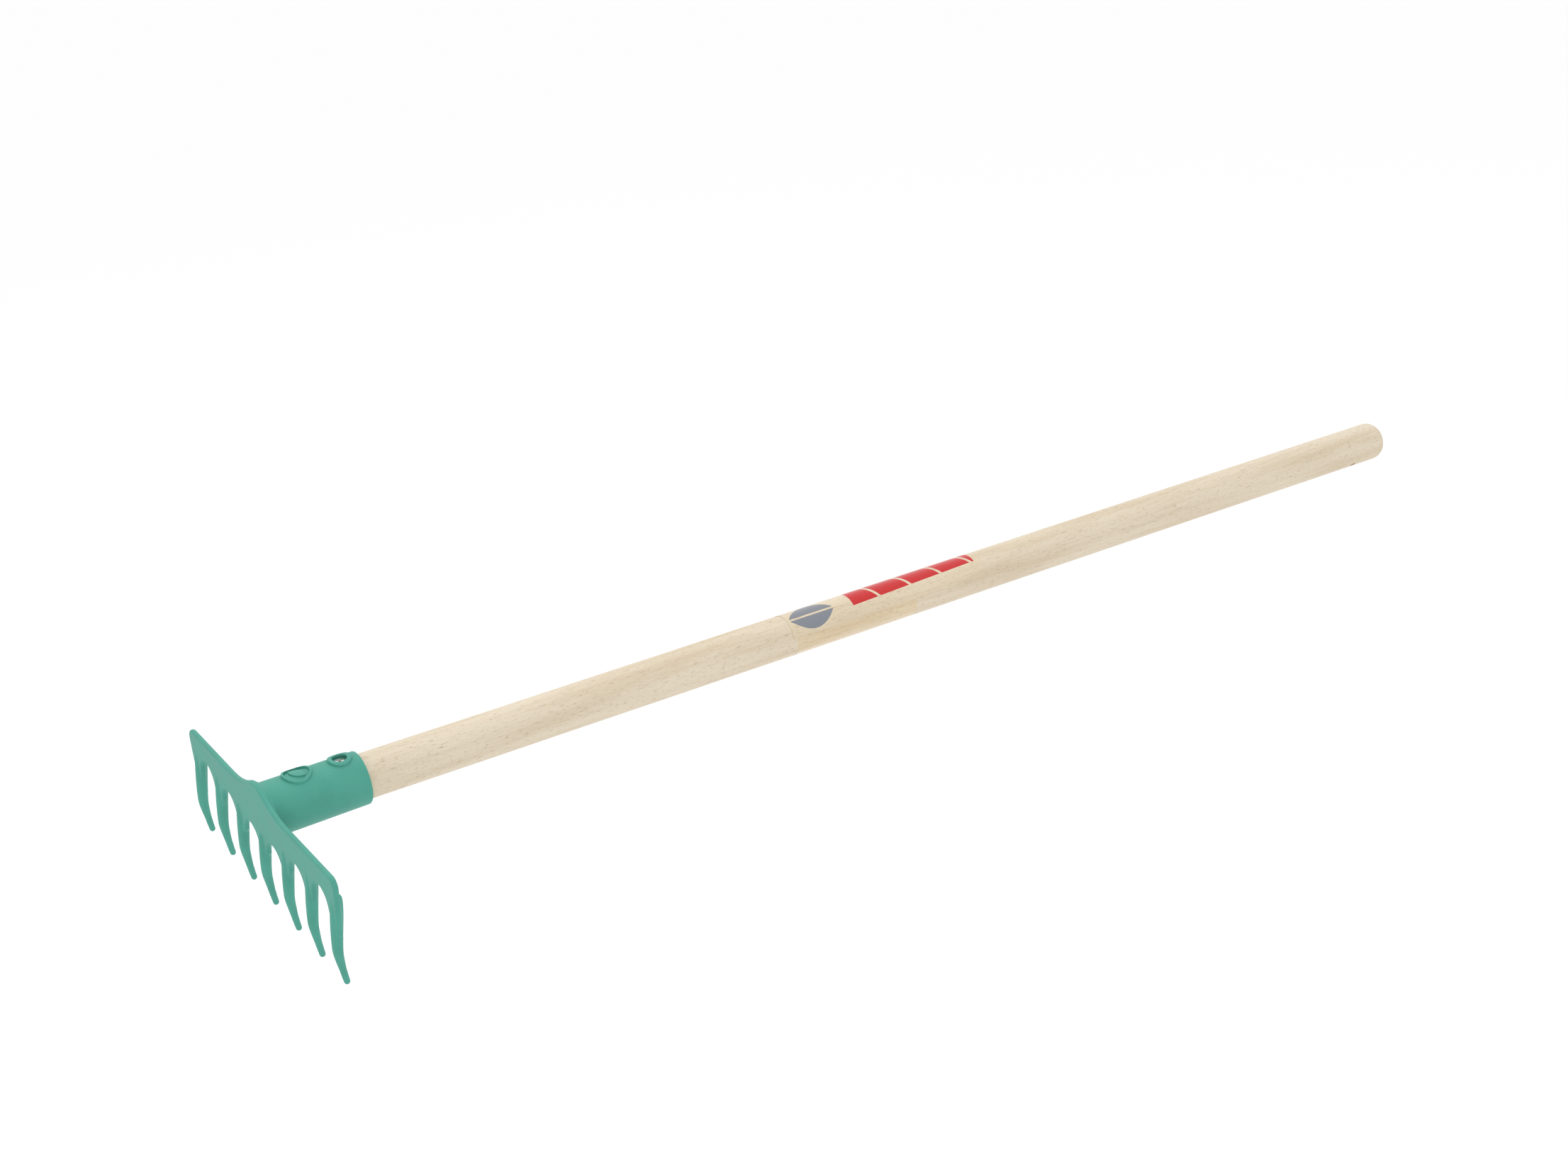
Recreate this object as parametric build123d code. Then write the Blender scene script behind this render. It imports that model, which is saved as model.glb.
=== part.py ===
from build123d import *
import os

# Small garden rake: a one-piece moulded head on a wooden dowel handle.
# Millimetres. The origin is on the handle's axis, in the plane of the socket's mouth.
# +X runs along the head, +Y along the handle to its free end, +Z away from the tines.

# ---- handle: turned dowel with a stepped-down end inside the socket ----
handle_d = 22.0
handle_exposed = 670.0
handle_end_r = 6.0
tenon_step = 0.2  # radial, where the dowel enters the socket
tenon_length = 40.0
tenon_chamfer = 1.0
hang_hole_d = 4.0
hang_hole_from_end = 26.0
hang_hole_tilt = -44.0  # degrees from +X towards +Z

# ---- socket of the head ----
bore_clearance = 0.1  # radial, round the tenon
bore_end_gap = 1.0
mouth_wall = 2.1
root_wall = 2.35
socket_length = 50.1  # plate's middle plane to the mouth
mouth_edge_r = 0.8
socket_fillet = 1.2

# ---- tines ----
tine_count = 7
tine_pitch = 26.8
tine_root_d = 6.0
tine_forward = -0.9  # root axis ahead of the plate's middle plane
tine_bends = (  # below the handle axis, ahead of the root, diameter
    (18.0, 0.9, 5.8),
    (31.0, 2.15, 5.0),
    (38.8, 1.6, 3.66),
    (49.2, 0.0, 3.0),
)
outer_tine_shorter = 0.8
bend_swell = 0.02

# ---- plate that joins the tines ----
plate_thickness = 2.8
plate_overhang = 5.9  # past the outer tines' axes
plate_top = 6.8  # above the handle axis
plate_corner_r = 5.0
plate_edge_r = 0.8
arch_depths = (11.8, 7.8, 4.7)  # below the handle axis, middle gaps first
arch_r = 8.6
root_below_arch = 3.0
web_depth = 25.0  # lowest point of the webs below the handle axis
web_half_width = 2.4
hump_over_socket = 1.55
hump_side_margin = 2.75
hump_blend_r = 52.0

# ---- raised rings on the socket ----
screw_from_mouth = 9.4
boss_d = 11.2
boss_height = 0.95
boss_hole_d = 7.2
disc_overlap = 1.0  # how deep the rings are rooted in the socket's wall
boss_floor = 1.1  # wall left under the screw's head
emblem_from_mouth = 30.6
emblem_d = 14.0
emblem_rim = 1.0
emblem_rim_height = 0.8
emblem_field_height = 0.25

# ---- screw ----
screw_d = 3.5
screw_head_d = 6.3
screw_head_rim = 0.3
screw_length = 19.0
screw_point = 4.0
screw_below_seat = 0.1
screw_clearance = 0.05
recess_depth = 1.4
recess_span = 3.6
recess_slot = 0.7

# ---- clear films on the handle ----
film_thickness = 0.06
film_gap = 0.01
side_film = dict(layer=0, start=238.5, length=75.5, low_angle=-116.0, high_angle=43.0)
front_film = dict(layer=1, start=236.0, length=125.0, low_angle=14.0, high_angle=166.0)

handle_r = handle_d / 2
tenon_r = handle_r - tenon_step
bore_r = tenon_r + bore_clearance
mouth_r = bore_r + mouth_wall
root_r = bore_r + root_wall
hump_r = root_r + hump_side_margin
hump_top = root_r + hump_over_socket
boss_seat = bore_r + boss_floor
bore_depth = tenon_length + bore_end_gap
half_row = tine_pitch * (tine_count - 1) / 2
plate_half_width = half_row + plate_overhang
screw_top = boss_seat - screw_below_seat


def ring_of_points(profile):
    """Solid of revolution about the handle axis from (radius, y) points."""
    return revolve(make_face(Polyline(*profile, close=True)), Axis.Y)


def upright(radius, low, high, y):
    """Vertical cylinder on the handle's centre plane, between two heights."""
    return Pos(0, y, (low + high) / 2) * Cylinder(radius, high - low)


def arch_depth(gap):
    """Depth of the arch over a gap, counted from one end of the head."""
    from_middle = abs(gap - (tine_count - 2) / 2)
    return arch_depths[min(int(from_middle), len(arch_depths) - 1)]


def tine_x(index):
    return -half_row + index * tine_pitch


def gap_shape(gap):
    """Outline cut from the plate between two tines: an arch over flaring sides."""
    x = tine_x(gap) + tine_pitch / 2
    spring = -(arch_depth(gap) + arch_r)
    half_foot = tine_pitch / 2 - web_half_width
    flare = Polyline(
        (-arch_r, spring),
        (arch_r, spring),
        (half_foot, -web_depth),
        (half_foot, -2 * web_depth),
        (-half_foot, -2 * web_depth),
        (-half_foot, -web_depth),
        close=True,
    )
    return Pos(x, 0) * (make_face(flare) + Pos(0, spring) * Circle(arch_r))


def plate_outline():
    """Face of the plate, drawn as (x, z): bar, hump over the socket, arches."""
    shoulder = -(arch_depths[-1] + arch_r)
    foot = half_row + web_half_width
    bar = Polyline(
        (-plate_half_width, plate_top),
        (plate_half_width, plate_top),
        (plate_half_width, shoulder),
        (foot, -web_depth),
        (-foot, -web_depth),
        (-plate_half_width, shoulder),
        close=True,
    )
    face = make_face(bar)
    corners = face.vertices().sort_by(Axis.Y)[-2:]
    face = fillet(corners, plate_corner_r)
    face += Pos(0, hump_top - hump_r) * Circle(hump_r)
    level = [v for v in face.vertices() if abs(v.Y - plate_top) < 0.01 and abs(v.X) < 1.5 * hump_r]
    face = fillet(level, hump_blend_r)
    for gap in range(tine_count - 1):
        face -= gap_shape(gap)
    return face


def make_plate():
    """The flat web that carries the tines, with its outer edges eased."""
    solid = extrude(Plane.XZ * plate_outline(), plate_thickness / 2, both=True)
    faces = [e for e in solid.edges() if abs(abs(e.center().Y) - plate_thickness / 2) < 0.01]
    outer = [e for e in faces if e.center().Z > -arch_depths[-1] or abs(e.center().X) > half_row + 3]
    solid = fillet(outer, plate_edge_r)
    return Pos(0, -socket_length, 0) * solid


def tapered_rod(start, end, start_r, end_r):
    """Cone frustum between two points."""
    axis = Vector(*end) - Vector(*start)
    place = Plane(origin=start, z_dir=axis)
    cone = Cone(start_r, end_r, axis.length, align=(Align.CENTER, Align.CENTER, Align.MIN))
    return place * cone


def make_tine(index):
    """Round tapered tine: domed root, a knee bowed forward, then a rounded tip."""
    shorter = outer_tine_shorter if index in (0, tine_count - 1) else 0
    gaps = [g for g in (index - 1, index) if 0 <= g < tine_count - 1]
    root_depth = sum(arch_depth(g) for g in gaps) / len(gaps) + root_below_arch
    x = tine_x(index)
    y = -socket_length - tine_forward
    last, last_r = (x, y, -root_depth), tine_root_d / 2
    rod = Pos(*last) * Sphere(last_r)
    for depth, ahead, diameter in tine_bends:
        low = depth == tine_bends[-1][0]
        bend, bend_r = (x, y - ahead, -(depth - shorter * low)), diameter / 2
        rod += tapered_rod(last, bend, last_r, bend_r)
        rod += Pos(*bend) * Sphere(bend_r if low else bend_r + bend_swell)
        last, last_r = bend, bend_r
    return rod


def make_socket():
    """Slightly drafted tube from the plate to the mouth, closed at the plate."""
    tube = ring_of_points([(0, -socket_length), (root_r, -socket_length), (mouth_r, 0), (0, 0)])
    mouth = tube.edges().filter_by(GeomType.CIRCLE).sort_by(Axis.Y)[-1]
    return fillet(mouth, mouth_edge_r)


def raised_disc(diameter, height, y):
    """Disc that follows the socket's round top and stands proud of it."""
    top_r = mouth_r + height
    low_r = mouth_r - disc_overlap
    band = Rot(90, 0, 0) * (Cylinder(top_r, diameter) - Cylinder(low_r, diameter))
    return (Pos(0, y, 0) * band) & upright(diameter / 2, 0, 2 * top_r, y)


def make_emblem():
    """Plain round badge: a raised rim round a shallow field."""
    y = -emblem_from_mouth
    rim = raised_disc(emblem_d, emblem_rim_height, y)
    rim -= upright(emblem_d / 2 - emblem_rim, 0, 2 * mouth_r, y)
    return rim + raised_disc(emblem_d - emblem_rim, emblem_field_height, y)


def screw_shape(grow):
    """Countersunk wood screw about +Z, larger all round by grow."""
    head_r = screw_head_d / 2 + grow
    shank_r = screw_d / 2 + grow
    cone_top = screw_top - screw_head_rim
    cone_end = cone_top - (screw_head_d - screw_d) / 2
    tip = screw_top - screw_length - grow
    profile = [
        (0, screw_top + grow),
        (head_r, screw_top + grow),
        (head_r, cone_top),
        (shank_r, cone_end),
        (shank_r, tip + screw_point),
        (0, tip),
    ]
    face = Plane.XZ * make_face(Polyline(*profile, close=True))
    return Pos(0, -screw_from_mouth, 0) * revolve(face, Axis.Z)


def make_screw():
    """The fixing screw with its cross recess."""
    slot = Box(recess_span, recess_slot, 2 * recess_depth)
    cross = slot + Rot(0, 0, 90) * slot
    return screw_shape(0) - Pos(0, -screw_from_mouth, screw_top) * Rot(0, 0, 30) * cross


def make_head():
    """One moulding: plate, tines, socket, screw boss and badge."""
    head = make_plate() + make_socket()
    joint = [
        e
        for e in head.edges().filter_by(GeomType.CIRCLE)
        if abs(e.radius - root_r) < 0.2 and abs(e.center().Y + socket_length) < plate_thickness
    ]
    head = fillet(joint, socket_fillet)
    head += raised_disc(boss_d, boss_height, -screw_from_mouth)
    head += make_emblem()
    for index in range(tine_count):
        head += make_tine(index)
    head -= ring_of_points([(0, -bore_depth), (bore_r, -bore_depth), (bore_r, 1), (0, 1)])
    head -= upright(boss_hole_d / 2, boss_seat, 2 * mouth_r, -screw_from_mouth)
    return head - screw_shape(screw_clearance)


def make_handle():
    """Dowel with a tenon at the head, a rounded end, a pilot hole and a hang hole."""
    dowel = ring_of_points(
        [
            (0, -tenon_length),
            (tenon_r - tenon_chamfer, -tenon_length),
            (tenon_r, -tenon_length + tenon_chamfer),
            (tenon_r, 0),
            (handle_r, 0),
            (handle_r, handle_exposed),
            (0, handle_exposed),
        ]
    )
    end = dowel.edges().filter_by(GeomType.CIRCLE).sort_by(Axis.Y)[-1]
    dowel = fillet(end, handle_end_r)
    drill = Rot(0, 90 - hang_hole_tilt, 0) * Cylinder(hang_hole_d / 2, 2 * handle_d)
    dowel -= Pos(0, handle_exposed - hang_hole_from_end, 0) * drill
    return dowel - screw_shape(screw_clearance)


def make_film(layer, start, length, low_angle, high_angle):
    """Clear film wrapped on the handle between two angles from +X towards +Z."""
    inner = handle_r + film_gap + layer * (film_thickness + film_gap)
    outer = inner + film_thickness
    stop = start + length
    face = make_face(Polyline((inner, start), (outer, start), (outer, stop), (inner, stop), close=True))
    return revolve(Rot(0, -high_angle, 0) * face, Axis.Y, high_angle - low_angle)


nodes = {
    "rake_head": make_head(),
    "handle": make_handle(),
    "fixing_screw": make_screw(),
    "front_label_film": make_film(**front_film),
    "side_label_film": make_film(**side_film),
}

os.makedirs("parts", exist_ok=True)
for name, shape in nodes.items():
    export_step(shape, f"parts/{name}.step")
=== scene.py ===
"""A small garden rake: moulded head, beech handle, fixing screw and two printed films.

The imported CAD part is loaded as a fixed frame. Each class below holds the sizes of one
sub-assembly in millimetres, models it on the frame and dresses it. +X runs along the row of
tines, +Y along the handle to its free end and +Z away from the tines.
"""

import logging
import math
from dataclasses import dataclass
from enum import Enum
from typing import Callable, Sequence

import bpy
from mathutils import Matrix, Vector


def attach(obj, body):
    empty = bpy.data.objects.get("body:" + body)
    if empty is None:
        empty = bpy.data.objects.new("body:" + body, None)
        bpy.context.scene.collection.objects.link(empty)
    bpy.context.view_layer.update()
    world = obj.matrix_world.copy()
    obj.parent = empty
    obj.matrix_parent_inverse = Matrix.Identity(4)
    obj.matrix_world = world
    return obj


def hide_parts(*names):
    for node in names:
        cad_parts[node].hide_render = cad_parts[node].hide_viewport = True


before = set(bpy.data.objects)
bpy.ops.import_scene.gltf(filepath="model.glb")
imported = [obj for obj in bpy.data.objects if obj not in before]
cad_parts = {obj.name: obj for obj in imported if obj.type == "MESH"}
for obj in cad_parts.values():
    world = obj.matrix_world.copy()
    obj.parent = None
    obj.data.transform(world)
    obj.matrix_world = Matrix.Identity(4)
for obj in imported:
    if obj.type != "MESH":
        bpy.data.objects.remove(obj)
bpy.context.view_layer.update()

MM = 0.001
MERGE = 0.00001  # metres
BORE_SIDES = 128
log = logging.getLogger("rake")

Point = tuple[float, float, float]
Colour = tuple[float, float, float, float]


class Slot(Enum):
    """Material slots of the record."""

    PLASTIC = "teal_plastic"
    WOOD = "beech"
    METAL = "zinc_screw"
    FILM = "clear_film"


def srgb(red: int, green: int, blue: int) -> Colour:
    """Turn an 8-bit display colour into the linear colour that sockets take.

    Args:
        red: Red from 0 to 255.
        green: Green from 0 to 255.
        blue: Blue from 0 to 255.

    Returns:
        The linear colour with an alpha of 1.
    """
    def linear(value: int) -> float:
        share = value / 255
        return share / 12.92 if share <= 0.04045 else ((share + 0.055) / 1.055) ** 2.4

    return (linear(red), linear(green), linear(blue), 1.0)


def metres(point: Sequence[float]) -> Vector:
    """A point given in millimetres, in metres."""
    return Vector(point) * MM


# ---------------------------------------------------------------------------
# Bench: small wrappers round the modelling operators
# ---------------------------------------------------------------------------


def deselect() -> None:
    """Clear the selection, so that an operator acts on one piece only."""
    bpy.ops.object.select_all(action="DESELECT")


def activate(piece: bpy.types.Object) -> None:
    """Select one piece alone and make it active."""
    deselect()
    piece.select_set(True)
    bpy.context.view_layer.objects.active = piece


def settle(piece: bpy.types.Object, name: str) -> bpy.types.Object:
    """Name a piece and move its place, turn and size into its mesh.

    Args:
        piece: The object to settle.
        name: Its new name.

    Returns:
        The same object, at the origin.
    """
    activate(piece)
    bpy.ops.object.transform_apply(location=True, rotation=True, scale=True)
    piece.name = name
    piece.data.name = name
    return piece


def add_rod(
    start: Point, end: Point, start_r: float, end_r: float, name: str, sides: int = 48
) -> bpy.types.Object:
    """Add a closed cylinder or cone frustum between two points.

    Args:
        start: First end in millimetres.
        end: Other end in millimetres.
        start_r: Radius at the first end.
        end_r: Radius at the other end.
        name: Name of the piece.
        sides: Number of sides.

    Returns:
        The new piece.
    """
    deselect()
    axis = metres(end) - metres(start)
    bpy.ops.mesh.primitive_cone_add(
        vertices=sides,
        radius1=start_r * MM,
        radius2=end_r * MM,
        depth=axis.length,
        location=(metres(start) + metres(end)) / 2,
        rotation=axis.to_track_quat("Z", "X").to_euler(),
    )
    return settle(bpy.context.active_object, name)


def add_ball(centre: Point, radius: float, name: str) -> bpy.types.Object:
    """Add a round ball of a radius in millimetres."""
    deselect()
    bpy.ops.mesh.primitive_uv_sphere_add(
        segments=32, ring_count=16, radius=radius * MM, location=metres(centre))
    return settle(bpy.context.active_object, name)


def apply_modifier(piece: bpy.types.Object, kind: str, **settings: object) -> None:
    """Add a modifier with these settings and apply it at once."""
    activate(piece)
    modifier = piece.modifiers.new(kind.title(), kind)
    for key, value in settings.items():
        setattr(modifier, key, value)
    bpy.ops.object.modifier_apply(modifier=modifier.name)


def combine(piece: bpy.types.Object, tool: bpy.types.Object, operation: str) -> None:
    """Cut a piece with a tool, or keep what they share, and remove the tool."""
    apply_modifier(piece, "BOOLEAN", object=tool, operation=operation, solver="EXACT")
    bpy.data.objects.remove(tool)


def join(pieces: Sequence[bpy.types.Object], name: str) -> bpy.types.Object:
    """Join pieces into one object with the first one's place."""
    deselect()
    for piece in pieces:
        piece.select_set(True)
    bpy.context.view_layer.objects.active = pieces[0]
    bpy.ops.object.join()
    joined = bpy.context.active_object
    joined.name = name
    joined.data.name = name
    return joined


def pick(piece: bpy.types.Object, mode: str, wanted: Callable[[Vector], bool]) -> None:
    """Enter edit mode with only the wanted vertices, edges or faces selected.

    Args:
        piece: The piece to edit.
        mode: VERT, EDGE or FACE.
        wanted: Test of a vertex, or of every vertex of an edge or face, in millimetres.
    """
    activate(piece)
    bpy.ops.object.mode_set(mode="EDIT")
    bpy.ops.mesh.select_mode(type=mode)
    bpy.ops.mesh.select_all(action="DESELECT")
    bpy.ops.object.mode_set(mode="OBJECT")
    mesh = piece.data
    inside = [wanted(v.co / MM) for v in mesh.vertices]
    groups = {"VERT": [(v, [v.index]) for v in mesh.vertices],
              "EDGE": [(e, e.vertices) for e in mesh.edges],
              "FACE": [(f, f.vertices) for f in mesh.polygons]}
    for element, corners in groups[mode]:
        element.select = all(inside[i] for i in corners)
    bpy.ops.object.mode_set(mode="EDIT")


def leave_edit() -> None:
    """Go back to object mode."""
    bpy.ops.object.mode_set(mode="OBJECT")


def fair(piece: bpy.types.Object, voxel: float, passes: int) -> None:
    """Fuse overlapping closed shapes into one skin and soften every edge.

    Args:
        piece: The joined shapes.
        voxel: Size of the skin's cells in millimetres.
        passes: How many times the skin is relaxed.
    """
    apply_modifier(piece, "REMESH", mode="VOXEL", voxel_size=voxel * MM, use_smooth_shade=True)
    apply_modifier(piece, "SMOOTH", factor=0.5, iterations=passes)


def shade(piece: bpy.types.Object, degrees: float = 35) -> None:
    """Shade smooth, with edges sharper than an angle left crisp."""
    activate(piece)
    bpy.ops.object.shade_smooth_by_angle(angle=math.radians(degrees))


def place(piece: bpy.types.Object, material: bpy.types.Material, nodes: Sequence[str] = ()) -> None:
    """Dress a piece and tell the frame what it is.

    Args:
        piece: The finished piece.
        material: Its material.
        nodes: CAD nodes that it stands for.
    """
    piece.data.materials.clear()
    piece.data.materials.append(material)
    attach(piece, "root")
    if nodes:
        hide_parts(*nodes)
    log.info("%s: %d faces", piece.name, len(piece.data.polygons))


def arc(centre: Vector, radius: float, start: float, end: float, steps: int) -> list[Vector]:
    """Points along an arc.

    Args:
        centre: Its centre.
        radius: Its radius.
        start: Angle of its first point in degrees.
        end: Angle of its last point in degrees.
        steps: Number of equal steps.

    Returns:
        The points, with both ends.
    """
    angles = [math.radians(start + (end - start) * step / steps) for step in range(steps + 1)]
    return [centre + radius * Vector((math.cos(a), math.sin(a))) for a in angles]


# ---------------------------------------------------------------------------
# Finishes
# ---------------------------------------------------------------------------


class Sheet:
    """A new material's node tree, with short ways to add nodes and wire them."""

    def __init__(self, name: str) -> None:
        """Start an empty tree with a shader that feeds the output."""
        self.material = bpy.data.materials.new(name)
        self.material.use_nodes = True
        self.tree = self.material.node_tree
        self.shader = self.tree.nodes["Principled BSDF"]
        coordinates = self.add("ShaderNodeTexCoord")
        self.object = coordinates.outputs["Object"]

    def add(self, kind: str, inputs: dict | None = None, **settings: object) -> bpy.types.Node:
        """Add a node.

        Args:
            kind: The node's type.
            inputs: Values or sockets, by input name or number.
            settings: The node's own properties.

        Returns:
            The new node.
        """
        node = self.tree.nodes.new(kind)
        for key, value in settings.items():
            setattr(node, key, value)
        for key, value in (inputs or {}).items():
            self.feed(node.inputs[key], value)
        return node

    def feed(self, socket: bpy.types.NodeSocket, value: object) -> None:
        """Link a socket to an input, or set the input's value."""
        if isinstance(value, bpy.types.NodeSocket):
            self.tree.links.new(value, socket)
        else:
            socket.default_value = value

    def math(self, operation: str, *values: object) -> bpy.types.NodeSocket:
        """The result of a Math node."""
        return self.add("ShaderNodeMath", dict(enumerate(values)), operation=operation).outputs[0]

    def span(
        self, value: object, low: float, high: float, to_low: float = 0, to_high: float = 1
    ) -> bpy.types.NodeSocket:
        """A value mapped smoothly from one range to another and held at its ends."""
        names = ("Value", "From Min", "From Max", "To Min", "To Max")
        inputs = dict(zip(names, (value, low, high, to_low, to_high)))
        return self.add("ShaderNodeMapRange", inputs, interpolation_type="SMOOTHSTEP").outputs[0]

    def stretch(self, x: float, y: float, z: float, shift: Point = (0, 0, 0)) -> bpy.types.NodeSocket:
        """Object coordinates in cells of x, y and z millimetres."""
        inputs = {"Vector": self.object, "Scale": (1 / (x * MM), 1 / (y * MM), 1 / (z * MM)), "Location": shift}
        return self.add("ShaderNodeMapping", inputs).outputs[0]

    def noise(self, vector: object, detail: float = 2, rough: float = 0.5, bend: float = 0) -> bpy.types.NodeSocket:
        """A noise value on a vector that already has its scale."""
        inputs = {"Vector": vector, "Scale": 1.0, "Detail": detail, "Roughness": rough, "Distortion": bend}
        return self.add("ShaderNodeTexNoise", inputs).outputs[0]

    def mix(
        self, share: object, first: object, second: object, blend: str = "MIX"
    ) -> bpy.types.NodeSocket:
        """Two colours mixed by a share."""
        node = self.add("ShaderNodeMix", data_type="RGBA", blend_type=blend)
        self.feed(node.inputs[0], share)
        self.feed(node.inputs[6], first)
        self.feed(node.inputs[7], second)
        return node.outputs[2]

    def bump(self, height: object, distance: float, strength: float = 1.0) -> None:
        """Raise the surface by a height, over a distance in millimetres."""
        inputs = {"Height": height, "Distance": distance * MM, "Strength": strength}
        node = self.add("ShaderNodeBump", inputs)
        self.feed(self.shader.inputs["Normal"], node.outputs[0])

    def set(self, **values: object) -> None:
        """Set or link the shader's inputs, with _ for a space in their names."""
        for key, value in values.items():
            self.feed(self.shader.inputs[key.replace("_", " ")], value)


@dataclass(frozen=True)
class MouldedPlastic:
    """Satin plastic straight from the mould, faintly uneven."""

    body: Colour = srgb(80, 160, 143)
    deep: Colour = srgb(74, 152, 136)
    roughness: float = 0.5
    grain: float = 0.35  # millimetres
    cloud: float = 14.0  # millimetres

    def build(self) -> bpy.types.Material:
        """Build the material."""
        sheet = Sheet("moulded_teal_plastic")
        cloud = sheet.noise(sheet.stretch(self.cloud, self.cloud, self.cloud), detail=3)
        grain = sheet.noise(sheet.stretch(self.grain, self.grain, self.grain), detail=1)
        tone = sheet.span(cloud, 0.3, 0.7)
        roughness = sheet.span(cloud, 0.25, 0.75, self.roughness - 0.05, self.roughness + 0.06)
        sheet.set(Base_Color=sheet.mix(tone, self.deep, self.body), Roughness=roughness, Specular_IOR_Level=0.22)
        sheet.bump(grain, 0.012)
        return sheet.material


@dataclass(frozen=True)
class Beech:
    """Sanded beech: pale ground, soft growth rings and short dark rays along the grain."""

    pale: Colour = srgb(222, 209, 187)
    tan: Colour = srgb(207, 190, 164)
    ray: Colour = srgb(172, 149, 120)
    ring_spacing: float = 3.4
    pith: tuple[float, float] = (-21.0, -9.0)  # x and z of the log's centre, beside the dowel
    lean: tuple[float, float] = (0.9, -1.3)  # degrees that the grain runs off the dowel's axis

    def colour(self, sheet: Sheet) -> bpy.types.NodeSocket:
        """Wire the wood's colour on a sheet.

        Args:
            sheet: The sheet to draw on.

        Returns:
            The colour socket.
        """
        turned = sheet.add("ShaderNodeMapping", {
            "Vector": sheet.object,
            "Location": (-self.pith[0] * MM, 0, -self.pith[1] * MM),
            "Rotation": (math.radians(self.lean[0]), 0, math.radians(self.lean[1])),
        }).outputs[0]
        rings = sheet.add("ShaderNodeTexWave", {
            "Vector": turned,
            "Scale": math.tau / (20 * self.ring_spacing * MM),
            "Distortion": 2.2,
            "Detail": 2.0,
            "Detail Scale": 0.35,
        }, wave_type="RINGS", rings_direction="Y", wave_profile="SAW").outputs[1]
        drift = sheet.noise(sheet.stretch(9, 120, 9), detail=3, bend=0.4)
        streak = sheet.noise(sheet.stretch(0.8, 26, 0.8), detail=3, rough=0.6)
        rays = sheet.noise(sheet.stretch(0.42, 3.6, 0.42), detail=2, rough=0.55)
        pores = sheet.noise(sheet.stretch(0.18, 1.4, 0.18), detail=1)
        tone = sheet.math("ADD", sheet.math("MULTIPLY", drift, 0.75), sheet.math("MULTIPLY", streak, 0.35))
        tone = sheet.math("ADD", tone, sheet.math("MULTIPLY", rings, 0.07))
        ground = sheet.mix(sheet.span(tone, 0.42, 0.82), self.pale, self.tan)
        flecked = sheet.mix(sheet.span(rays, 0.58, 0.72, 0, 0.75), ground, self.ray)
        return sheet.mix(sheet.span(pores, 0.58, 0.75, 0, 0.25), flecked, self.ray)

    def build(self) -> bpy.types.Material:
        """Build the bare wood's material."""
        sheet = Sheet("sanded_beech")
        wood = self.colour(sheet)
        fibres = sheet.noise(sheet.stretch(0.3, 5, 0.3), detail=3)
        sheet.set(Base_Color=wood, Roughness=0.62)
        sheet.bump(fibres, 0.03)
        return sheet.material


@dataclass(frozen=True)
class ClearFilm:
    """Glossy clear film over the wood, with a plain print."""

    wood: Beech
    name: str
    tint: Colour
    red: Colour = srgb(196, 22, 24)
    grey: Colour = srgb(126, 130, 138)

    def build(self, dashes: "RedDashes | None" = None, leaf: "LeafPrint | None" = None) -> bpy.types.Material:
        """Build the film's material.

        Args:
            dashes: The red print, or None for a film without it.
            leaf: The grey print, or None for a film without it.

        Returns:
            The material.
        """
        sheet = Sheet(self.name)
        colour = sheet.mix(1.0, self.wood.colour(sheet), self.tint, "MULTIPLY")
        if dashes:
            colour = sheet.mix(dashes.mask(sheet), colour, self.red)
        if leaf:
            colour = sheet.mix(leaf.mask(sheet), colour, self.grey)
        sheet.set(Base_Color=colour, Roughness=0.16, Specular_IOR_Level=0.5)
        return sheet.material


@dataclass(frozen=True)
class RedDashes:
    """A broken red stripe along the handle, drawn by its place on the round dowel."""

    start: float = 276.0
    end: float = 357.0
    low_angle: float = 50.0  # degrees from +X towards +Z, at the start
    height_angle: float = 88.0
    climb: float = 0.17  # degrees for each millimetre
    pitch: float = 20.6
    gap: float = 1.8
    slant: float = 0.09  # millimetres for each degree

    def mask(self, sheet: Sheet) -> bpy.types.NodeSocket:
        """Wire a mask that is 1 on the dashes.

        Args:
            sheet: The film's sheet.

        Returns:
            The mask's socket.
        """
        axes = sheet.add("ShaderNodeSeparateXYZ", {"Vector": sheet.object}).outputs
        along = sheet.math("MULTIPLY", axes["Y"], 1 / MM)
        angle = sheet.math("DEGREES", sheet.math("ARCTAN2", axes["Z"], axes["X"]))
        from_start = sheet.math("SUBTRACT", along, self.start)
        level = sheet.math("SUBTRACT", angle, sheet.math("MULTIPLY", from_start, self.climb))
        shifted = sheet.math("ADD", from_start, sheet.math("MULTIPLY", level, self.slant))
        phase = sheet.math("MODULO", shifted, self.pitch)
        marks = (
            sheet.math("GREATER_THAN", along, self.start),
            sheet.math("LESS_THAN", along, self.end),
            sheet.math("GREATER_THAN", level, self.low_angle),
            sheet.math("LESS_THAN", level, self.low_angle + self.height_angle),
            sheet.math("GREATER_THAN", phase, self.gap),
        )
        mask = marks[0]
        for mark in marks[1:]:
            mask = sheet.math("MULTIPLY", mask, mark)
        return mask


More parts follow.
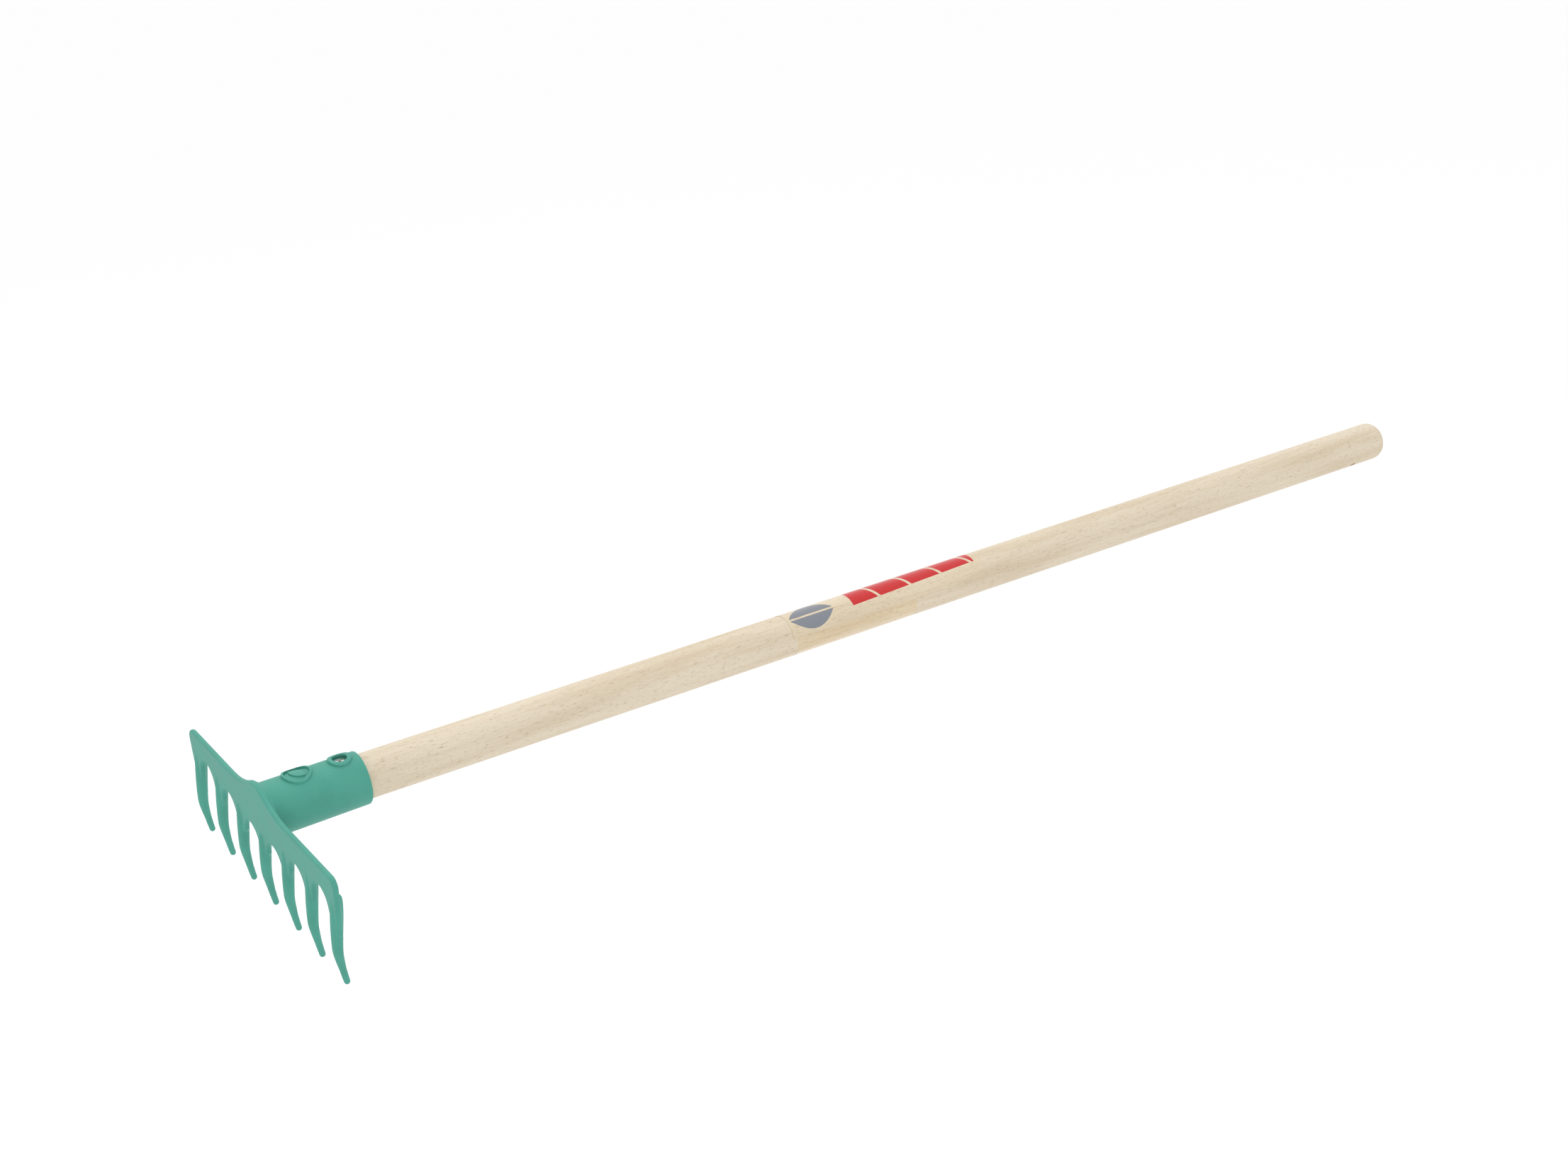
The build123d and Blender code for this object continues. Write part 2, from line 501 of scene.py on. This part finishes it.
@dataclass(frozen=True)
class LeafPrint:
    """A plain leaf printed on the film, with a bare line for its midrib."""

    middle: float = 251.0
    half_length: float = 14.0
    middle_angle: float = 66.0  # degrees from +X towards +Z
    half_angle: float = 42.0
    midrib: float = 0.07

    def mask(self, sheet: Sheet) -> bpy.types.NodeSocket:
        """Wire a mask that is 1 on the leaf.

        Args:
            sheet: The film's sheet.

        Returns:
            The mask's socket.
        """
        axes = sheet.add("ShaderNodeSeparateXYZ", {"Vector": sheet.object}).outputs
        along = sheet.math("DIVIDE", sheet.math("SUBTRACT", axes["Y"], self.middle * MM), self.half_length * MM)
        angle = sheet.math("DEGREES", sheet.math("ARCTAN2", axes["Z"], axes["X"]))
        across = sheet.math("DIVIDE", sheet.math("SUBTRACT", angle, self.middle_angle), self.half_angle)
        width = sheet.math("SUBTRACT", 1, sheet.math("MULTIPLY", along, along))
        off_middle = sheet.math("ABSOLUTE", across)
        inside = sheet.math("LESS_THAN", off_middle, width)
        return sheet.math("MULTIPLY", inside, sheet.math("GREATER_THAN", off_middle, self.midrib))


@dataclass(frozen=True)
class PlainFinish:
    """A simple metal or ink finish with a fine unevenness."""

    name: str
    colour: Colour
    metallic: float
    roughness: float

    def build(self) -> bpy.types.Material:
        """Build the material."""
        sheet = Sheet(self.name)
        wear = sheet.noise(sheet.stretch(0.5, 0.5, 0.5), detail=2)
        roughness = sheet.span(wear, 0.3, 0.7, self.roughness - 0.06, self.roughness + 0.08)
        sheet.set(Base_Color=self.colour, Metallic=self.metallic, Roughness=roughness)
        sheet.bump(wear, 0.01)
        return sheet.material


# ---------------------------------------------------------------------------
# Head
# ---------------------------------------------------------------------------


@dataclass
class RakeHead:
    """The one-piece moulded head: plate, tines, socket, screw boss and badge."""

    plastic: bpy.types.Material
    tine_count: int = 7
    tine_pitch: float = 26.8
    plate_y: float = -50.1
    plate_thickness: float = 2.7
    plate_half_width: float = 86.2
    plate_top: float = 6.7
    plate_edge_r: float = 0.9
    corner_r: float = 5.0
    arch_depths: tuple[float, ...] = (11.8, 7.8, 4.7)
    arch_r: float = 8.6
    web_depth: float = 23.0
    web_half_width: float = 2.2
    side_taper: float = 2.6
    hump_r: float = 16.0
    hump_top: float = 14.7
    hump_blend_r: float = 52.0
    root_below_arch: float = 1.5
    outer_lift: float = 0.09  # how the row's tips curve up, times the square of the steps from the middle
    lift_from: float = 40.0  # depth below which a tine is shortened by its lift
    socket_root_r: float = 13.25
    socket_mouth_r: float = 13.0
    bore_r: float = 10.9
    bore_depth: float = 41.0
    socket_drop: float = 0.7  # the head leans a little on its handle
    foot_r: float = 15.2  # where the socket spreads into the plate
    foot_length: float = 1.9
    foot_sunk: float = 0.5
    skin_cell: float = 0.5
    skin_passes: int = 4
    # depth below the handle's axis, distance ahead of the plate's middle plane, radius
    tine_stations: tuple[Point, ...] = (
        (6.0, -1.15, 2.8),
        (8.0, -1.05, 2.92),
        (12.0, -0.68, 3.0),
        (16.0, -0.22, 2.97),
        (20.0, 0.25, 2.87),
        (24.0, 0.68, 2.74),
        (28.0, 1.02, 2.58),
        (31.0, 1.24, 2.45),
        (34.0, 1.15, 2.23),
        (38.0, 0.72, 1.92),
        (42.0, 0.25, 1.68),
        (46.0, -0.35, 1.57),
        (49.0, -0.86, 1.5),
    )
    screw_y: float = -9.4
    boss_r: float = 5.6
    boss_hole_r: float = 3.6
    boss_height: float = 0.95
    boss_seat: float = 12.0
    screw_hole_r: float = 3.22
    badge_y: float = -30.6
    badge_r: float = 7.0
    badge_rim: float = 1.0
    badge_height: float = 0.8
    leaf_height: float = 0.45
    leaf_half_length: float = 4.5
    leaf_side_r: float = 5.2
    leaf_turn: float = -50.0  # degrees
    relief_rooted: float = 0.7  # from the bore's wall up to where raised shapes begin
    relief_edge_r: float = 0.22

    @property
    def back_y(self) -> float:
        """Back face of the plate, which the socket stands on."""
        return self.plate_y + self.plate_thickness / 2

    def tine_x(self, index: float) -> float:
        """Place of a tine along the head, with halves for the gaps."""
        return (index - (self.tine_count - 1) / 2) * self.tine_pitch

    def arch_depth(self, gap: int) -> float:
        """Depth of the arch over a gap, counted from one end."""
        from_middle = abs(gap - (self.tine_count - 2) / 2)
        return self.arch_depths[min(int(from_middle), len(self.arch_depths) - 1)]

    def gap_outline(self, gap: int) -> list[Vector]:
        """Outline of one gap from its left foot over the arch to its right foot."""
        x = self.tine_x(gap + 0.5)
        spring = -(self.arch_depth(gap) + self.arch_r)
        foot = self.tine_pitch / 2 - self.web_half_width
        return [Vector((x - foot, -self.web_depth)),
                *arc(Vector((x, spring)), self.arch_r, 180, 0, 24),
                Vector((x + foot, -self.web_depth))]

    def outline(self) -> list[Vector]:
        """The plate's outline in x and z: over the top from the right, then back under the arches."""
        wide, top, corner = self.plate_half_width, self.plate_top, self.corner_r
        hump_z = self.hump_top - self.hump_r
        hollow_z = top + self.hump_blend_r
        reach = math.sqrt((self.hump_r + self.hump_blend_r) ** 2 - (hollow_z - hump_z) ** 2)
        lean = math.degrees(math.atan2(hollow_z - hump_z, reach))
        points = [Vector((wide - self.side_taper, -self.web_depth)),
                  *arc(Vector((wide - corner, top - corner)), corner, 0, 90, 10),
                  *arc(Vector((reach, hollow_z)), self.hump_blend_r, 270, 180 + lean, 12),
                  *arc(Vector((0, hump_z)), self.hump_r, lean, 180 - lean, 24),
                  *arc(Vector((-reach, hollow_z)), self.hump_blend_r, 360 - lean, 270, 12),
                  *arc(Vector((corner - wide, top - corner)), corner, 90, 180, 10),
                  Vector((self.side_taper - wide, -self.web_depth))]
        for gap in range(self.tine_count - 1):
            points += self.gap_outline(gap)
        return points

    def plate(self) -> bpy.types.Object:
        """The plate, filled from its outline with rounded edges."""
        deselect()
        round_r = self.plate_edge_r * MM
        curve = bpy.data.curves.new("plate", "CURVE")
        curve.dimensions = "2D"
        curve.fill_mode = "BOTH"
        curve.extrude = self.plate_thickness / 2 * MM - round_r
        curve.bevel_depth = round_r
        curve.bevel_resolution = 4
        curve.offset = -round_r
        spline = curve.splines.new("POLY")
        outline = self.outline()
        spline.points.add(len(outline) - 1)
        for point, place_ in zip(spline.points, outline):
            point.co = (place_.x * MM, place_.y * MM, 0, 1)
        spline.use_cyclic_u = True
        plate = bpy.data.objects.new("plate", curve)
        bpy.context.scene.collection.objects.link(plate)
        plate.location = metres((0, self.plate_y, 0))
        plate.rotation_euler = (math.radians(90), 0, 0)
        activate(plate)
        bpy.ops.object.convert(target="MESH")
        plate = settle(bpy.context.active_object, "plate")
        pick(plate, "FACE", lambda p: True)
        bpy.ops.mesh.remove_doubles(threshold=MERGE)
        leave_edit()
        return plate

    def tine_at(self, depth: float) -> tuple[float, float]:
        """Distance ahead of the plate and radius of a tine at a depth."""
        pairs = zip(self.tine_stations, self.tine_stations[1:])
        for (upper, ahead, radius), (lower, next_ahead, next_r) in pairs:
            if depth <= lower:
                share = (depth - upper) / (lower - upper)
                return ahead + share * (next_ahead - ahead), radius + share * (next_r - radius)
        return self.tine_stations[-1][1:]

    def tine(self, index: int) -> bpy.types.Object:
        """One round tapered tine, bowed forward at its knee, drawn from a circle by extrusion."""
        x = self.tine_x(index)
        gaps = [g for g in (index - 1, index) if 0 <= g < self.tine_count - 1]
        root = min(self.arch_depth(g) for g in gaps) + self.root_below_arch
        lift = self.outer_lift * abs(index - (self.tine_count - 1) / 2) ** 2
        ahead, radius = self.tine_at(root)
        here = Vector((x, self.plate_y - ahead, -root))
        deselect()
        bpy.ops.mesh.primitive_circle_add(
            vertices=32, radius=radius * MM, fill_type="NGON", location=here * MM)
        rod = settle(bpy.context.active_object, "tine")
        dome = (tuple(here), radius)
        pick(rod, "FACE", lambda p: True)
        for depth, ahead, next_r in self.tine_stations:
            if depth < root + 1:
                continue
            there = Vector((x, self.plate_y - ahead, -(depth - lift * (depth > self.lift_from))))
            bpy.ops.mesh.extrude_region_move(TRANSFORM_OT_translate={"value": (there - here) * MM})
            grow = next_r / radius
            bpy.ops.transform.resize(value=(grow, grow, 1), center_override=there * MM)
            here, radius = there, next_r
        bpy.ops.mesh.select_all(action="SELECT")
        bpy.ops.mesh.normals_make_consistent(inside=False)
        leave_edit()
        return join([rod, add_ball(*dome, "dome"), add_ball(tuple(here), radius, "tip")], "tine")

    def socket(self) -> bpy.types.Object:
        """The drafted tube with its bore and the foot that spreads into the plate."""
        low = -self.socket_drop
        tube = add_rod(
            (0, self.plate_y, low), (0, 0, 0), self.socket_root_r, self.socket_mouth_r, "tube", BORE_SIDES)
        bore = add_rod((0, -self.bore_depth, 0), (0, 5, 0), self.bore_r, self.bore_r, "bore", BORE_SIDES)
        combine(tube, bore, "DIFFERENCE")
        foot = add_rod(
            (0, self.back_y - self.foot_sunk, low),
            (0, self.back_y + self.foot_length, low),
            self.foot_r, self.socket_root_r, "foot", BORE_SIDES,
        )
        return join([tube, foot], "socket")

    def upright(self, y: float, radius: float, low: float, high: float, name: str) -> bpy.types.Object:
        """A round bar that stands across the socket, between two heights."""
        return add_rod((0, y, low), (0, y, high), radius, radius, name, 96)

    def saddle(self, y: float, radius: float, height: float, name: str) -> bpy.types.Object:
        """A disc that stands proud of the socket and follows its round top.

        Args:
            y: Place of its centre along the socket.
            radius: Its radius, seen from above.
            height: How far it stands out of the socket.
            name: Its name.

        Returns:
            The disc.
        """
        top_r = self.socket_mouth_r + height
        disc = add_rod((0, y - 2 * radius, 0), (0, y + 2 * radius, 0), top_r, top_r, name, 192)
        low_r = self.bore_r + self.relief_rooted
        combine(disc, self.upright(y, radius, 0, 2 * top_r, "trim"), "INTERSECT")
        core = add_rod((0, y - 3 * radius, 0), (0, y + 3 * radius, 0), low_r, low_r, "core", 192)
        combine(disc, core, "DIFFERENCE")
        return disc

    def build_moulding(self) -> None:
        """Model the plate, tines and socket as one skin, with the screw's hole through it."""
        tines = [self.tine(index) for index in range(self.tine_count)]
        head = join([self.plate(), *tines, self.socket()], "moulded_head")
        fair(head, self.skin_cell, self.skin_passes)
        clear = self.hump_top + 5
        wide = self.upright(self.screw_y, self.boss_hole_r, self.boss_seat, clear, "drill")
        combine(head, wide, "DIFFERENCE")
        narrow = self.upright(self.screw_y, self.screw_hole_r, self.bore_r / 2, clear, "drill")
        combine(head, narrow, "DIFFERENCE")
        shade(head, 60)
        place(head, self.plastic, ["rake_head"])

    def build_boss(self) -> None:
        """Model the ring round the screw."""
        boss = self.saddle(self.screw_y, self.boss_r, self.boss_height, "screw_boss")
        combine(boss, self.upright(self.screw_y, self.boss_hole_r, 0, 30, "drill"), "DIFFERENCE")
        self.finish_relief(boss)

    def build_badge(self) -> None:
        """Model the round badge: a rim and a plain leaf inside it."""
        rim = self.saddle(self.badge_y, self.badge_r, self.badge_height, "badge_rim")
        combine(rim, self.upright(self.badge_y, self.badge_r - self.badge_rim, 0, 30, "hollow"), "DIFFERENCE")
        self.finish_relief(rim)
        leaf = self.saddle(self.badge_y, self.badge_r - 2 * self.badge_rim, self.leaf_height, "badge_leaf")
        combine(leaf, self.leaf_cutter(), "INTERSECT")
        self.finish_relief(leaf)

    def leaf_cutter(self) -> bpy.types.Object:
        """A tall leaf-shaped prism, turned across the badge."""
        half_length, side_r = self.leaf_half_length, self.leaf_side_r
        lean = math.degrees(math.asin(half_length / side_r))
        inset = math.sqrt(side_r ** 2 - half_length ** 2)
        sides = arc(Vector((-inset, 0)), side_r, -lean, lean, 16)[1:]
        sides += arc(Vector((inset, 0)), side_r, 180 - lean, 180 + lean, 16)[1:]
        curve = bpy.data.curves.new("leaf", "CURVE")
        curve.dimensions = "2D"
        curve.fill_mode = "BOTH"
        curve.extrude = 10 * MM
        spline = curve.splines.new("POLY")
        spline.points.add(len(sides) - 1)
        for point, place_ in zip(spline.points, sides):
            point.co = (place_.x * MM, place_.y * MM, 0, 1)
        spline.use_cyclic_u = True
        leaf = bpy.data.objects.new("leaf", curve)
        bpy.context.scene.collection.objects.link(leaf)
        leaf.location = metres((0, self.badge_y, self.socket_mouth_r))
        leaf.rotation_euler = (0, 0, math.radians(self.leaf_turn))
        activate(leaf)
        bpy.ops.object.convert(target="MESH")
        leaf = settle(bpy.context.active_object, "leaf")
        pick(leaf, "FACE", lambda p: True)
        bpy.ops.mesh.remove_doubles(threshold=MERGE)
        leave_edit()
        return leaf

    def finish_relief(self, relief: bpy.types.Object) -> None:
        """Ease a raised shape's edges and place it."""
        apply_modifier(
            relief, "BEVEL", width=self.relief_edge_r * MM, segments=3,
            limit_method="ANGLE", angle_limit=math.radians(40))
        shade(relief)
        place(relief, self.plastic)

    def build(self) -> None:
        """Build the whole head."""
        self.build_moulding()
        self.build_boss()
        self.build_badge()


# ---------------------------------------------------------------------------
# Handle
# ---------------------------------------------------------------------------


@dataclass
class Handle:
    """The turned beech dowel, stepped down inside the socket and rounded at its end."""

    wood: bpy.types.Material
    radius: float = 11.0
    tenon_r: float = 10.8
    tenon_length: float = 40.0
    length: float = 670.0
    end_r: float = 6.0
    hole_r: float = 2.0
    hole_from_end: float = 26.0
    hole_tilt: float = -44.0

    def build(self) -> None:
        """Model the dowel and drill its hang hole."""
        dowel = add_rod((0, 0, 0), (0, self.length, 0), self.radius, self.radius, "dowel", 160)
        pick(dowel, "FACE", lambda p: p.y > self.length - 1)
        bpy.ops.mesh.bevel(offset=self.end_r * MM, segments=12)
        leave_edit()
        pick(dowel, "FACE", lambda p: p.y < 1)
        bpy.ops.mesh.inset(thickness=(self.radius - self.tenon_r) * MM)
        bpy.ops.mesh.extrude_region_move(TRANSFORM_OT_translate={"value": (0, -self.tenon_length * MM, 0)})
        leave_edit()
        tilt = math.radians(self.hole_tilt)
        across = Vector((math.cos(tilt), 0, math.sin(tilt))) * 2 * self.radius
        middle = Vector((0, self.length - self.hole_from_end, 0))
        drill = add_rod(middle - across, middle + across, self.hole_r, self.hole_r, "drill", 48)
        combine(dowel, drill, "DIFFERENCE")
        dowel.name = "beech_handle"
        shade(dowel)
        place(dowel, self.wood, ["handle"])


@dataclass
class LabelFilm:
    """A thin film wrapped on the handle between two angles from +X towards +Z."""

    name: str
    node: str
    material: bpy.types.Material
    inner_r: float
    start: float
    length: float
    low_angle: float
    high_angle: float
    thickness: float = 0.06

    def build(self) -> None:
        """Spin an edge about the handle's axis and give the sheet its thickness."""
        deselect()
        bpy.ops.mesh.primitive_plane_add(size=1)
        film = settle(bpy.context.active_object, self.name)
        low = math.radians(self.low_angle)
        radial = Vector((math.cos(low), 0, math.sin(low)))
        inner = radial * self.inner_r
        outer = radial * (self.inner_r + self.thickness)
        for vertex, corner in zip(film.data.vertices, (inner, outer, inner, outer)):
            far = vertex.co.y > 0
            vertex.co = (corner + Vector((0, self.start + self.length * far, 0))) * MM
        pick(film, "FACE", lambda p: True)
        sweep = self.high_angle - self.low_angle
        bpy.ops.mesh.spin(steps=int(sweep), angle=math.radians(sweep), center=(0, 0, 0), axis=(0, 1, 0))
        bpy.ops.mesh.select_all(action="SELECT")
        bpy.ops.mesh.remove_doubles(threshold=MERGE)
        bpy.ops.mesh.normals_make_consistent(inside=False)
        leave_edit()
        shade(film)
        place(film, self.material, [self.node])


# ---------------------------------------------------------------------------
# Studio
# ---------------------------------------------------------------------------


@dataclass
class Studio:
    """Floor, lights and camera. Places are in millimetres."""

    camera_at: Point = (882.2, -330.6, 520.2)
    aim_azimuth: float = 147.197  # degrees from +X towards +Y
    aim_elevation: float = -25.165
    roll: float = 2.497
    lens: float = 52.08
    floor_z: float = -420.0
    floor_size: float = 30.0  # metres

    def camera(self) -> None:
        """Add the camera and make it the scene's."""
        azimuth, elevation = math.radians(self.aim_azimuth), math.radians(self.aim_elevation)
        aim = Vector((math.cos(azimuth) * math.cos(elevation),
                      math.sin(azimuth) * math.cos(elevation),
                      math.sin(elevation)))
        level = aim.to_track_quat("-Z", "Y").to_matrix()
        data = bpy.data.cameras.new("camera")
        data.sensor_fit = "HORIZONTAL"
        data.sensor_width = 36.0
        data.lens = self.lens
        camera = bpy.data.objects.new("camera", data)
        turned = Matrix.Rotation(math.radians(self.roll), 3, aim) @ level
        camera.matrix_world = Matrix.Translation(metres(self.camera_at)) @ turned.to_4x4()
        bpy.context.scene.collection.objects.link(camera)
        bpy.context.scene.camera = camera

    def softbox(self, name: str, at: Point, aim: Point, size: tuple[float, float], watts: float) -> None:
        """Add a rectangular soft light.

        Args:
            name: Its name.
            at: Its place.
            aim: The point it faces.
            size: Width and height in millimetres.
            watts: Its power.
        """
        data = bpy.data.lights.new(name, "AREA")
        data.shape = "RECTANGLE"
        data.size, data.size_y = size[0] * MM, size[1] * MM
        data.energy = watts
        light = bpy.data.objects.new(name, data)
        turn = (metres(aim) - metres(at)).to_track_quat("-Z", "Y")
        light.matrix_world = Matrix.Translation(metres(at)) @ turn.to_matrix().to_4x4()
        bpy.context.scene.collection.objects.link(light)

    def floor(self) -> None:
        """Add the pale floor."""
        deselect()
        bpy.ops.mesh.primitive_plane_add(size=self.floor_size, location=(0, 0, self.floor_z * MM))
        floor = bpy.context.active_object
        floor.name = "floor"
        sheet = Sheet("pale_floor")
        sheet.set(Base_Color=(0.97, 0.97, 0.97, 1), Roughness=0.9, Specular_IOR_Level=0.1)
        floor.data.materials.append(sheet.material)

    def sky(self) -> None:
        """Surround the set with an even white light."""
        world = bpy.data.worlds.new("white_room")
        world.use_nodes = True
        world.node_tree.nodes["Background"].inputs["Color"].default_value = (1, 1, 1, 1)
        world.node_tree.nodes["Background"].inputs["Strength"].default_value = 1.02
        bpy.context.scene.world = world
        bpy.context.scene.view_settings.view_transform = "Standard"

    def build(self) -> None:
        """Set up the whole studio."""
        self.camera()
        self.floor()
        self.sky()
        self.softbox("overhead", (-500, 250, 900), (0, 250, 0), (900, 1400), 3)


def main() -> None:
    """Build every piece in order."""
    logging.basicConfig(level=logging.INFO, format="%(name)s: %(message)s")
    Studio().build()
    wood = Beech()
    RakeHead(MouldedPlastic().build()).build()
    Handle(wood.build()).build()
    side = ClearFilm(wood, "clear_film_side", srgb(255, 249, 236)).build()
    front = ClearFilm(wood, "clear_film_front", srgb(255, 254, 249)).build(RedDashes(), LeafPrint())
    LabelFilm(
        "side_label", "side_label_film", side,
        inner_r=11.01, start=238.5, length=75.5, low_angle=-116, high_angle=43,
    ).build()
    LabelFilm(
        "front_label", "front_label_film", front,
        inner_r=11.08, start=236.0, length=125.0, low_angle=14, high_angle=166,
    ).build()
    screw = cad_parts["fixing_screw"]
    screw.data.materials.clear()
    screw.data.materials.append(PlainFinish("zinc_steel", srgb(225, 225, 222), 1.0, 0.28).build())


if __name__ == "__main__":
    main()
